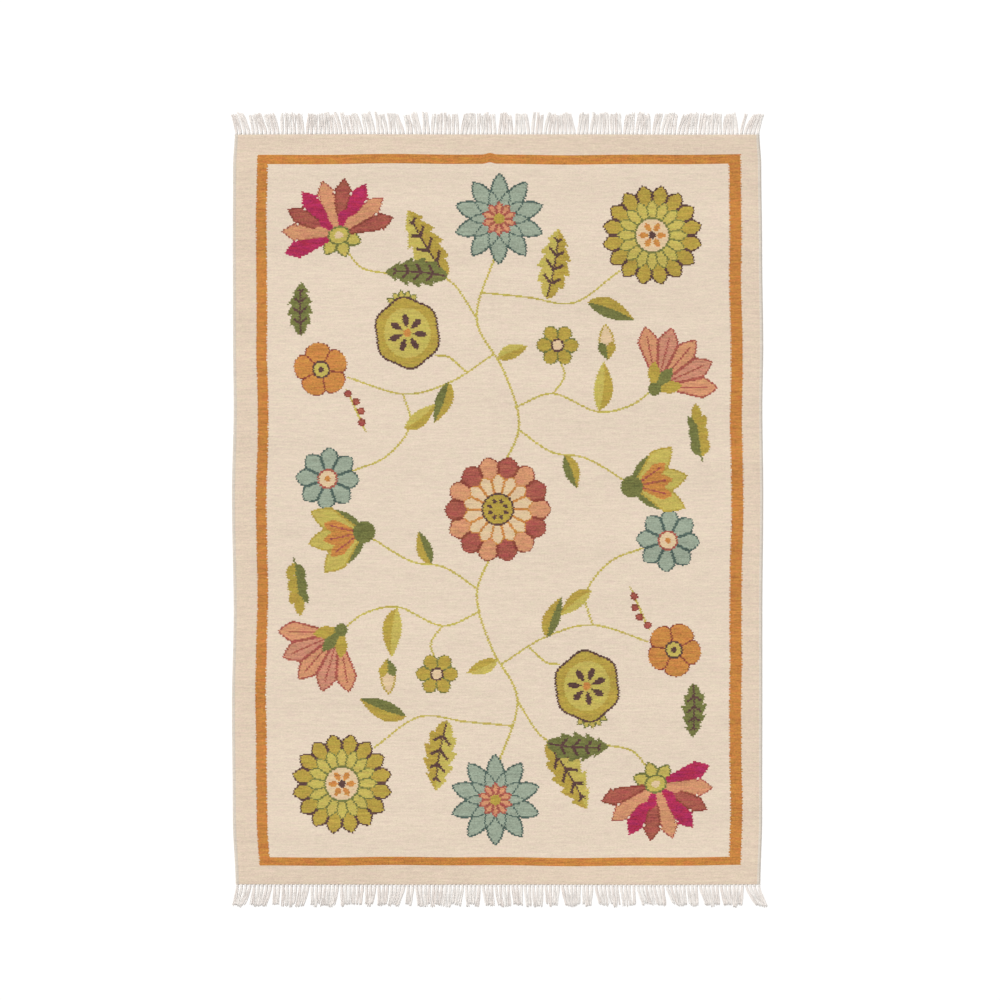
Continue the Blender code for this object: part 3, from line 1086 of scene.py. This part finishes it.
@dataclass
class WovenCloth:
    """The woven cloth: its patterned face and back, its corded sides and its end hems."""

    chart: WovenChart = field(default_factory=WovenChart)
    finish: WovenWool = field(default_factory=WovenWool)
    long_crease_height: float = 0.0012
    long_crease_foot_share: float = 0.1
    cross_crease_height: float = 0.0008
    swell_height: float = 0.0004
    fade_in: float = 0.02
    crease_reach: float = 1.7
    stray_fade_in: float = 0.04
    hump_height: float = 0.0036
    hump_spread: tuple[float, float] = (0.010, 0.035)
    back_lift: float = 0.0005
    back_round: float = 0.003
    back_cells: int = 4
    back_share: float = 0.996

    def height(self, across: np.ndarray, along: np.ndarray) -> np.ndarray:
        """Height of the face over the floor.

        It is the side's cord, groove and cloth, lowered over the last few millimetres of the
        end hems. A ridge of the form e^-(d/spread)^2 runs along each crease, the long one
        fading towards the foot, and a slow swell lies over the whole.

        Args:
            across: places across the straight rug.
            along: places along it.

        Returns:
            The heights there.
        """
        from_side = HALF_WIDTH - np.abs(across)
        from_end = HALF_LENGTH - np.abs(along)
        edge = np.interp(from_side, SELVEDGE_STEPS[:, 0], SELVEDGE_STEPS[:, 1])
        hem = np.interp(from_end, (0.0, HEM_DEPTH), (HEM_HEIGHT - CLOTH_THICKNESS, 0.0))
        inside = np.clip((from_side - SELVEDGE_STEPS[-1, 0]) / self.fade_in, 0.0, 1.0)
        inside = inside * np.clip((from_end - HEM_DEPTH) / self.fade_in, 0.0, 1.0)
        fade = np.interp(along, (-HALF_LENGTH, HALF_LENGTH), (self.long_crease_foot_share, 1.0))
        bend = fade * self.long_crease_height * np.exp(-(((across - LONG_CREASE_X) / CREASE_SPREAD) ** 2))
        for crease in CROSS_CREASES_Y:
            bend = bend + self.cross_crease_height * np.exp(-(((along - crease) / CREASE_SPREAD) ** 2))
        return edge + hem + inside * (bend + self.swell_height * mean_wave(SWELL_WAVES, across, along))

    def drift(self, across: np.ndarray, along: np.ndarray) -> tuple[np.ndarray, np.ndarray]:
        """How far the weave's lines stray from straight inside the cloth.

        Sideways and lengthways it is a sum of slow sine waves, which fades out at the edges.
        Where the long crease meets the head band, the rows are pushed outward in a small hump.

        Args:
            across: places across the straight rug.
            along: places along it.

        Returns:
            The stray across and the stray along.
        """
        inside = np.clip((HALF_WIDTH - np.abs(across)) / self.stray_fade_in, 0.0, 1.0)
        inside = inside * np.clip((HALF_LENGTH - np.abs(along)) / self.stray_fade_in, 0.0, 1.0)
        band_middle = sum(self.chart.frame_head) / 2
        hump = self.hump_height * np.exp(-(((across - LONG_CREASE_X) / self.hump_spread[0]) ** 2))
        hump = hump * np.exp(-(((along - band_middle) / self.hump_spread[1]) ** 2))
        sideways = stray(SIDEWAYS_STRAYS, across, along)
        lengthways = stray(LENGTHWAYS_STRAYS, across, along)
        return inside * sideways, inside * (lengthways + hump)

    def limits(self, creased: bool) -> tuple[np.ndarray, np.ndarray]:
        """The most rows and columns that a tile may have at each cell.

        Args:
            creased: whether the tiles stay small along the creases too, not at the rim alone.

        Returns:
            The most rows and the most columns.
        """
        across = np.abs((self.chart.across[1:] + self.chart.across[:-1]) / 2 - LONG_CREASE_X)
        along = (self.chart.along[1:] + self.chart.along[:-1]) / 2
        tallest = np.full(self.chart.cells.shape, LONGEST_RUN)
        widest = tallest.copy()
        hem = len(self.chart.end_lines)
        side = len(self.chart.side_lines) - 1
        if creased:
            reach = self.crease_reach * CREASE_SPREAD
            widest[hem:-hem, across < reach] = 2
            for crease in CROSS_CREASES_Y:
                tallest[np.abs(along - crease) < reach, side:-side] = 2
        for edge in (slice(0, hem), slice(-hem, None)):
            tallest[edge] = 1
        for edge in (slice(0, side), slice(-side, None)):
            widest[:, edge] = 1
        return tallest, widest

    def build(self) -> bpy.types.Object:
        """Builds the cloth as one closed mesh with its dyes, its places and its flat map.

        Face and back lie on the same lattice, over each other, and quads join their rims. The
        flat map is the straight rug seen from above, for face and back alike, since a flat weave
        shows one pattern on both sides. The back is mapped a little smaller, which leaves the
        rim quads a width of their own on the map.
        """
        self.chart.paint()
        across, along = np.meshgrid(self.chart.across, self.chart.along)
        straight = np.stack([across.ravel(), along.ravel()], axis=1)
        left, right = side_edges(straight[:, 1])
        drift_x, drift_y = self.drift(straight[:, 0], straight[:, 1])
        x = left + (straight[:, 0] / CLOTH_WIDTH + 0.5) * (right - left) + drift_x
        y = straight[:, 1] * end_distance(straight[:, 0], np.sign(straight[:, 1])) / HALF_LENGTH + drift_y
        face = np.column_stack([x, y, self.height(straight[:, 0], straight[:, 1])])
        from_rim = ((HALF_WIDTH, HALF_LENGTH) - np.abs(straight)).min(axis=1)
        lift = self.back_lift * np.clip(1.0 - from_rim / self.back_round, 0.0, 1.0)
        back = np.column_stack([x, y, lift])

        total = len(straight)
        upper = Tiling(self.chart.cells, *self.limits(creased=True))
        cells = self.back_cells
        coarse = self.chart.cells[::cells, ::cells].repeat(cells, axis=0).repeat(cells, axis=1)
        lower = Tiling(coarse, *self.limits(creased=False))
        rows, columns = self.chart.cells.shape
        numbers = np.arange(total).reshape(rows + 1, columns + 1)
        rim = np.concatenate([numbers[0, :-1], numbers[:-1, -1], numbers[-1, :0:-1], numbers[:0:-1, 0]])
        rim = rim[upper.is_corner.ravel()[rim] | lower.is_corner.ravel()[rim]]
        after = np.roll(rim, -1)
        walls = np.column_stack([rim + total, after + total, after, rim])
        cell_row = np.clip(rim // (columns + 1), 0, rows - 1)
        cell_column = np.clip(rim % (columns + 1), 0, columns - 1)

        starts = np.concatenate([[0], np.cumsum(lower.counts)[:-1]])
        ends = np.repeat(starts + lower.counts - 1, lower.counts)
        step = np.arange(len(lower.corners)) - np.repeat(starts, lower.counts)
        turned = lower.corners[ends - step] + total
        corners = np.concatenate([turned, walls.ravel(), upper.corners])
        counts = np.concatenate([lower.counts, np.full(len(walls), 4), upper.counts])
        dyes = np.concatenate([lower.dyes, self.chart.cells[cell_row, cell_column], upper.dyes])

        used, corners = np.unique(corners, return_inverse=True)
        points = np.vstack([face, back])[used]
        places = np.vstack([straight, straight])[used]
        shares = np.where(used < total, 1.0, self.back_share)[:, None]
        flat_map = places * shares / (CLOTH_WIDTH, CLOTH_LENGTH) + 0.5
        made = put_mesh("woven_cloth_pattern", points, corners, counts, self.finish.material())
        layer = made.data.uv_layers.new(name="OFBake")
        layer.data.foreach_set("uv", flat_map[corners].astype(np.float32).ravel())
        palette = np.array([linear_colour(dye.value) for dye in DYES]) * DYE_SHARE
        colours = np.repeat(palette[dyes], counts, axis=0)
        set_attribute(made, "dye", "FLOAT_COLOR", "CORNER", "color", colours)
        spots = np.column_stack([places, np.zeros(len(places))])
        set_attribute(made, "weave_place", "FLOAT_VECTOR", "POINT", "vector", spots)
        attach(made, "root")
        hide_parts("woven_cloth")
        return made


@dataclass
class Fringe:
    """One end's fringe: bundles of warp yarns, each tied in a knot at the cloth's end.

    The bundles' roots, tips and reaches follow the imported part's strands, number by number.
    """

    name: str
    node: str
    outward: int
    left_reach: float
    right_reach: float
    seed: int
    finish: TwistedCotton = field(default_factory=TwistedCotton)
    bundles: int = 126
    reach: float = 0.052
    shortest_share: float = 0.86
    gap: float = 0.0003
    knot_strip: float = 0.004
    root_width: float = 0.0064
    tip_width: float = 0.0052
    root_jitter: float = 0.0005
    clump_sizes: tuple[int, ...] = (2, 3, 3, 4, 4, 5)
    clump_lean: float = 0.0058
    tip_pitch: float = 0.0057
    loose_tip_pitch: float = 0.0080
    corner_clump: int = 4
    corner_pitch: float = 0.0066
    splay: float = 0.008
    wander: float = 0.003
    wander_turns: float = 16.0
    bend_power: float = 1.3
    yarns: int = 9
    yarn_radius: float = 0.00080
    sides: int = 6
    strand_rings: int = 11
    ring_power: float = 0.9
    plies: int = 2
    ply_turn: float = 0.007
    longest_trim: float = 0.10
    lane_spread: tuple[float, float, float] = (0.0019, 0.0028, 0.0031)
    spread_shares: tuple[float, float, float] = (0.0, 0.2, 1.0)
    tip_widening: tuple[float, float] = (0.5, 1.25)
    tip_mixing: float = 0.45
    sway: float = 0.0006
    lift: float = 0.0002
    sway_turns: tuple[float, float] = (0.7, 1.6)
    hem_lane: float = 0.0034
    hem_inset: float = 0.0015
    hem_middle: float = 0.0017
    knot_lane: float = 0.0013
    knot_start: float = 0.0012
    yarn_tip: float = 0.65
    yarn_tone_share: float = 0.55
    knot_sides: int = 10
    knot_middle: tuple[float, float] = (0.0030, 0.0021)
    knot_radii: tuple[float, float] = (0.0029, 0.0020)
    knot_stray: float = 0.0004
    knot_lean: float = 0.25
    knot_sizes: tuple[float, float] = (0.9, 1.1)
    knot_tones: tuple[float, float] = (0.2, 0.8)
    knot_wrap: float = 1.9

    def plan(self) -> tuple[np.ndarray, np.ndarray, np.ndarray]:
        """Roots, tips and reaches of the bundles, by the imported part's own rules.

        Returns:
            X of each root, X of each tip, and how far each bundle reaches from the cloth's end.
        """
        chance = random.Random(self.seed)
        left, right = side_edges(np.array([self.outward * HALF_LENGTH]))
        margin = self.root_width / 2
        even = np.linspace(left[0] + margin, right[0] - margin, self.bundles).tolist()
        jitter = self.root_jitter
        roots = [even[0], *(root + chance.uniform(-jitter, jitter) for root in even[1:-1]), even[-1]]
        tips: list[float] = []
        while len(tips) < len(roots):
            size = min(chance.choice(self.clump_sizes), len(roots) - len(tips))
            middle = sum(roots[len(tips) : len(tips) + size]) / size
            slow = self.splay * middle / HALF_WIDTH
            slow += self.wander * math.sin(self.wander_turns * middle + self.seed)
            middle += slow + chance.uniform(-self.clump_lean, self.clump_lean)
            pitch = chance.uniform(self.tip_pitch, self.loose_tip_pitch)
            tips += [middle + pitch * (place - (size - 1) / 2) for place in range(size)]
        margin = self.tip_width / 2
        for place in range(self.corner_clump):
            tips[place] = self.left_reach + margin + place * self.corner_pitch
        for place in range(self.corner_clump, len(tips)):
            tips[place] = max(tips[place], tips[place - 1] + self.tip_pitch)
        for place in range(self.corner_clump):
            tips[-1 - place] = self.right_reach - margin - place * self.corner_pitch
        for place in range(len(tips) - 1 - self.corner_clump, -1, -1):
            tips[place] = min(tips[place], tips[place + 1] - self.tip_pitch)
        trims = np.array([chance.random() for _ in roots])
        shares = self.shortest_share + (1.0 - self.shortest_share) * trims / trims.max()
        return np.array(roots), np.array(tips), self.reach * shares

    def tubes(
        self, paths: np.ndarray, radii: np.ndarray, sides: int
    ) -> tuple[np.ndarray, np.ndarray, np.ndarray]:
        """Closed tubes along many paths at once.

        A ring's points are the path's point plus radius times (cos a * side + sin a * up), where
        side is level and square to the path, and up is square to both.

        Args:
            paths: places along the paths, as paths by rings by 3.
            radii: sideways and upward radius of each ring, as paths by rings by 2.
            sides: points round a ring.

        Returns:
            Points, the faces' corners, and the faces' corner counts.
        """
        number, rings, _ = paths.shape
        ahead = np.gradient(paths, axis=1)
        ahead /= np.linalg.norm(ahead, axis=2, keepdims=True)
        side = np.cross(ahead, (0.0, 0.0, 1.0))
        side /= np.linalg.norm(side, axis=2, keepdims=True)
        up = np.cross(side, ahead)
        angle = np.arange(sides) * math.tau / sides
        wide = radii[..., 0, None, None] * np.cos(angle)[:, None] * side[:, :, None, :]
        tall = radii[..., 1, None, None] * np.sin(angle)[:, None] * up[:, :, None, :]
        points = (paths[:, :, None, :] + wide + tall).reshape(-1, 3)
        first = (np.arange(number)[:, None] * rings + np.arange(rings - 1))[..., None] * sides
        here, following = np.arange(sides), np.roll(np.arange(sides), -1)
        ahead_of = first + sides
        quads = np.stack(
            [first + here, ahead_of + here, ahead_of + following, first + following], axis=-1
        )
        start = np.arange(number)[:, None] * rings * sides
        caps = np.concatenate([start + here, start + (rings - 1) * sides + here[::-1]])
        corners = np.concatenate([quads.ravel(), caps.ravel()])
        counts = np.concatenate([np.full(quads.size // 4, 4), np.full(len(caps), sides)])
        return points, corners, counts

    def yarn_paths(
        self, roots: np.ndarray, tips: np.ndarray, reaches: np.ndarray, chance: np.random.Generator
    ) -> np.ndarray:
        """Paths of all yarns, as yarns by rings by 3.

        A bundle's middle moves from root to tip by share ** bend_power. Its yarns come out of
        the hem side by side, close up in the knot, and spread and change places towards the tip,
        with a slow sideways wave of their own.
        """
        below = (self.yarns + 1) // 2
        order = np.arange(self.yarns)
        lower = order < below
        lane = np.where(lower, order - (below - 1) / 2, order - below - (self.yarns - below - 1) / 2)
        lane = lane / ((below - 1) / 2)
        shape = (self.bundles, self.yarns, 1)
        front = HALF_LENGTH + self.gap + self.knot_strip
        share = np.linspace(0.0, 1.0, self.strand_rings) ** self.ring_power
        trim = 1.0 - self.longest_trim * chance.random(shape)
        middle = roots[:, None, None] + (tips - roots)[:, None, None] * share**self.bend_power
        end = (HALF_LENGTH + reaches)[:, None, None]
        y = front + share * (end - front) * trim
        lane = lane[None, :, None]
        tip_lane = lane * chance.uniform(*self.tip_widening, shape)
        tip_lane = tip_lane + chance.normal(0.0, self.tip_mixing, shape)
        mix = share * share * (3.0 - 2.0 * share)
        spread = np.interp(share, self.spread_shares, self.lane_spread)
        offset = (lane * (1.0 - mix) + tip_lane * mix) * spread
        turns = chance.uniform(*self.sway_turns, shape)
        phase = chance.uniform(0.0, math.tau, shape)
        offset = offset + self.sway * share * np.sin(math.tau * turns * share + phase)
        x = middle + offset
        # The lower yarns lie on the floor and the upper ones in the hollows between them
        low = self.yarn_radius * np.where(lower, 1.0, 2.5)[None, :, None]
        ease = np.interp(share, (0.0, 0.15, 1.0), (1.5, 1.15, 1.0))
        z = low * ease + self.lift * share * np.sin(math.tau * turns * share + 2.0 * phase)
        hem = end_distance(roots - CLOTH_MIDDLE_X, np.full(len(roots), float(self.outward)))
        hem_x = roots[:, None, None] + lane * self.hem_lane
        knot_x = roots[:, None, None] + lane * self.knot_lane
        hem_y = np.broadcast_to((hem - self.hem_inset)[:, None, None], hem_x.shape)
        knot_y = np.broadcast_to(hem[:, None, None] + self.knot_start, hem_x.shape)
        hem_z = np.full(hem_x.shape, self.hem_middle)
        knot_z = np.broadcast_to(low * 1.5, hem_x.shape)
        x = np.concatenate([hem_x, knot_x, x], axis=2)
        y = np.concatenate([hem_y, knot_y, np.broadcast_to(y, z.shape)], axis=2) * self.outward
        z = np.maximum(np.concatenate([hem_z, knot_z, z], axis=2), self.yarn_radius)
        return np.stack([x, y, z], axis=-1).reshape(-1, x.shape[2], 3)

    def knot_paths(
        self, roots: np.ndarray, chance: np.random.Generator
    ) -> tuple[np.ndarray, np.ndarray]:
        """Paths and radii of the knots: short plump beads with a waist where the loop crosses."""
        along, swell = KNOT_RINGS.T
        hem = end_distance(roots - CLOTH_MIDDLE_X, np.full(len(roots), float(self.outward)))
        each = (self.bundles, 1)
        size = chance.uniform(*self.knot_sizes, each)
        lean = chance.uniform(-self.knot_lean, self.knot_lean, each)
        from_hem = self.knot_middle[0] + chance.uniform(-self.knot_stray, self.knot_stray, each)
        y = (hem[:, None] + from_hem + along) * self.outward
        x = roots[:, None] + lean * along
        z = np.full(x.shape, self.knot_middle[1])
        radii = (swell * size)[..., None] * np.array(self.knot_radii)
        return np.stack([x, y, z], axis=-1), radii

    def build(self) -> bpy.types.Object:
        """Builds the end's yarns and knots as one mesh with its ply and tone attribute."""
        roots, tips, reaches = self.plan()
        chance = np.random.default_rng(self.seed)
        paths = self.yarn_paths(roots, tips, reaches, chance)
        number, rings, _ = paths.shape
        taper = np.interp(np.arange(rings) / (rings - 1), (0.9, 1.0), (1.0, self.yarn_tip))
        radii = np.broadcast_to((self.yarn_radius * taper)[None, :, None], (number, rings, 2))
        points, corners, counts = self.tubes(paths, radii, self.sides)
        steps = np.linalg.norm(np.diff(paths, axis=1), axis=2)
        length = np.concatenate([np.zeros((number, 1)), np.cumsum(steps, axis=1)], axis=1)
        angle = np.arange(self.sides) * math.tau / self.sides
        slant = self.plies * (angle + math.tau * length[..., None] / self.ply_turn)
        tone = np.repeat(chance.uniform(0.0, 1.0, self.bundles), self.yarns)
        tone = tone * (1.0 - self.yarn_tone_share)
        tone = tone + self.yarn_tone_share * chance.uniform(0.0, 1.0, number)
        tone = np.broadcast_to(tone[:, None, None], slant.shape)
        ply = np.stack([slant, tone, np.zeros(slant.shape)], axis=-1)

        knot_path, knot_radii = self.knot_paths(roots, chance)
        knot_points, knot_corners, knot_counts = self.tubes(knot_path, knot_radii, self.knot_sides)
        angle = np.arange(self.knot_sides) * math.tau / self.knot_sides
        wrap = np.arange(len(KNOT_RINGS))[:, None] * self.knot_wrap + angle
        knot_tone = chance.uniform(*self.knot_tones, self.bundles)
        wrap = np.broadcast_to(wrap, (self.bundles, *wrap.shape))
        knot_tone = np.broadcast_to(knot_tone[:, None, None], wrap.shape)
        # The third value is one on every knot, where the material paints shade
        knot_ply = np.stack([wrap, knot_tone, np.ones(wrap.shape)], axis=-1)
        points = np.vstack([points, knot_points])
        corners = np.concatenate([corners, knot_corners + len(points) - len(knot_points)])
        counts = np.concatenate([counts, knot_counts])
        made = put_mesh(self.name, points, corners, counts, self.finish.material())
        values = np.vstack([ply.reshape(-1, 3), knot_ply.reshape(-1, 3)])
        set_attribute(made, "ply", "FLOAT_VECTOR", "POINT", "vector", values)
        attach(made, "root")
        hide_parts(self.node)
        return made


@dataclass
class Studio:
    """A pale floor, a white sky of even light, one broad soft lamp, and the camera."""

    floor_size: float = 14.0
    floor_code: str = "FCFBFA"
    pale_floor_code: str = "FEFDFC"
    floor_mottle: float = 0.5
    sky_strength: float = 0.46
    lamp_strength: float = 2.23
    lamp_angle: float = 30.0
    lamp_turns: tuple[float, float, float] = (-24.0, -20.0, 0.0)
    camera_height: float = 6.0
    sensor: float = 36.0
    picture_width: float = 2.266
    picture_middle: tuple[float, float] = (0.0022, 0.0215)

    def floor(self) -> bpy.types.Object:
        """The floor: a smooth painted board, with a slight mottle that keeps it from one tone."""
        material, tree, shader = new_material("matt_white_paint", roughness=0.95, specular=0.1)
        place = add_node(tree, "TexCoord").outputs["Object"]
        size = {"Scale": 1.0 / self.floor_mottle, "Detail": 2.0}
        mottle = add_node(tree, "TexNoise", values=size, links={"Vector": place})
        tone = add_node(
            tree,
            "Mix",
            {"data_type": "RGBA"},
            {6: linear_colour(self.floor_code), 7: linear_colour(self.pale_floor_code)},
            {0: mottle.outputs["Fac"]},
        )
        tree.links.new(tone.outputs[2], shader.inputs["Base Color"])
        corners = ((-1.0, -1.0, 0.0), (1.0, -1.0, 0.0), (1.0, 1.0, 0.0), (-1.0, 1.0, 0.0))
        points = np.array(corners) * self.floor_size / 2
        made = put_mesh("studio_floor", points, np.arange(4), np.array([4]), material)
        return made

    def light(self) -> None:
        """An even white sky and a soft sun from the upper left."""
        world = bpy.data.worlds.new("studio_sky")
        bpy.context.scene.world = world
        world.use_nodes = True
        sky = world.node_tree.nodes["Background"]
        sky.inputs["Color"].default_value = (1.0, 1.0, 1.0, 1.0)
        sky.inputs["Strength"].default_value = self.sky_strength
        lamp = bpy.data.lights.new("soft_lamp", "SUN")
        lamp.energy = self.lamp_strength
        lamp.angle = math.radians(self.lamp_angle)
        stand = bpy.data.objects.new("soft_lamp", lamp)
        stand.rotation_euler = [math.radians(turn) for turn in self.lamp_turns]
        bpy.context.scene.collection.objects.link(stand)

    def camera(self) -> None:
        """A camera straight over the rug, framed as the photo is."""
        lens = bpy.data.cameras.new("camera")
        lens.sensor_width = self.sensor
        lens.lens = self.sensor * self.camera_height / self.picture_width
        lens.clip_end = 40.0
        stand = bpy.data.objects.new("camera", lens)
        stand.location = (*self.picture_middle, self.camera_height)
        bpy.context.scene.collection.objects.link(stand)
        bpy.context.scene.camera = stand
        # The plain display curve keeps the paper-white floor and the dyes as the photo has them
        bpy.context.scene.view_settings.view_transform = "Standard"

    def build(self) -> None:
        """Sets up floor, light and camera."""
        self.floor()
        self.light()
        self.camera()


def report(pieces: Iterable[bpy.types.Object]) -> None:
    """Logs each piece's name, faces and triangles."""
    for piece in pieces:
        polygons = piece.data.polygons
        triangles = len(piece.data.loops) - 2 * len(polygons)
        LOG.info("%s: %d faces, %d triangles", piece.name, len(polygons), triangles)


def main() -> None:
    logging.basicConfig(level=logging.INFO, format="%(message)s")
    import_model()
    cloth = WovenCloth().build()
    ends = [
        Fringe("head_fringe_yarns", "head_fringe", 1, -0.6075, 0.5990, 21).build(),
        Fringe("foot_fringe_yarns", "foot_fringe", -1, -0.6040, 0.6075, 34).build(),
    ]
    Studio().build()
    report([cloth, *ends])


if __name__ == "__main__":
    main()
